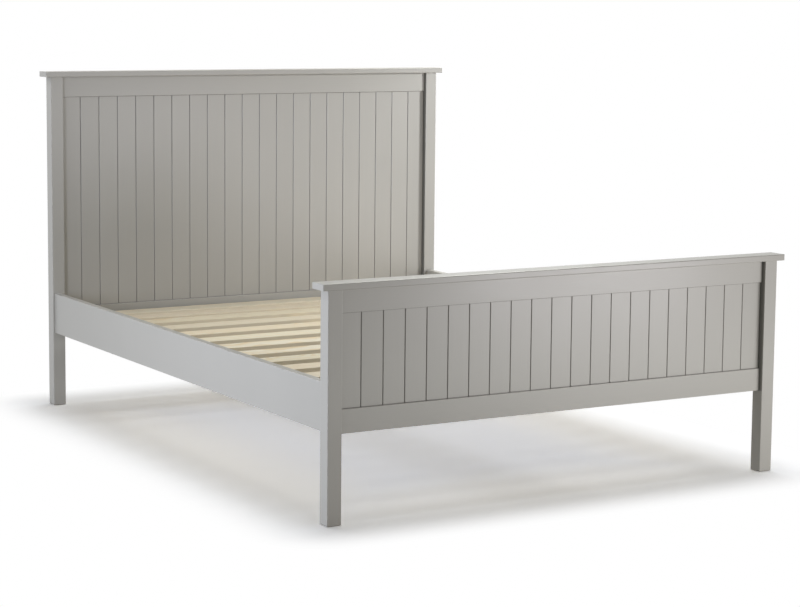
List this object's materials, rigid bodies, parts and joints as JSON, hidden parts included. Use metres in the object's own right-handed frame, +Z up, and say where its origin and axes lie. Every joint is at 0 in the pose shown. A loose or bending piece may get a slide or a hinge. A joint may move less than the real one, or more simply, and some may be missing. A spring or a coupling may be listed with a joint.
{
  "type": "bed frame",
  "caption": "Painted wooden double bed frame: tall headboard and low footboard of tongue-and-groove boards with flat caps, bolted side rails and loose pine slats.",
  "frame": {"origin": "on the floor under the middle of the bed, halfway between the caps' outer edges", "axes": "+X across the bed, +Y from the footboard to the headboard, +Z up"},
  "size_m": [1.61, 2.101, 1.18],
  "materials": {
    "paint": "satin warm grey paint",
    "pine": "planed, unfinished",
    "beech": "fluted, unfinished",
    "steel": "zinc plated"
  },
  "bodies": {
    "root": {"head_post_left": "paint", "head_post_right": "paint", "head_top_rail": "paint", "head_bottom_rail": "paint", "head_boards": "paint", "head_cap": "paint", "head_cap_dowels": "beech", "foot_post_left": "paint", "foot_post_right": "paint", "foot_top_rail": "paint", "foot_bottom_rail": "paint", "foot_boards": "paint", "foot_cap": "paint", "foot_cap_dowels": "beech", "side_rail_left": "paint", "side_rail_right": "paint", "corner_dowels": "beech", "corner_inserts": "steel", "corner_studs": "steel", "corner_washers": "steel", "corner_nuts": "steel", "ledger_left": "pine", "ledger_right": "pine", "ledger_screws": "steel", "centre_rail": "pine", "hanger_head": "steel", "hanger_foot": "steel", "hanger_screws": "steel", "slat_01": "pine", "slat_02": "pine", "slat_03": "pine", "slat_04": "pine", "slat_05": "pine", "slat_06": "pine", "slat_07": "pine", "slat_08": "pine", "slat_09": "pine", "slat_10": "pine", "slat_11": "pine", "slat_12": "pine", "slat_13": "pine", "slat_14": "pine", "slat_screws": "steel"}
  },
  "joints": []
}
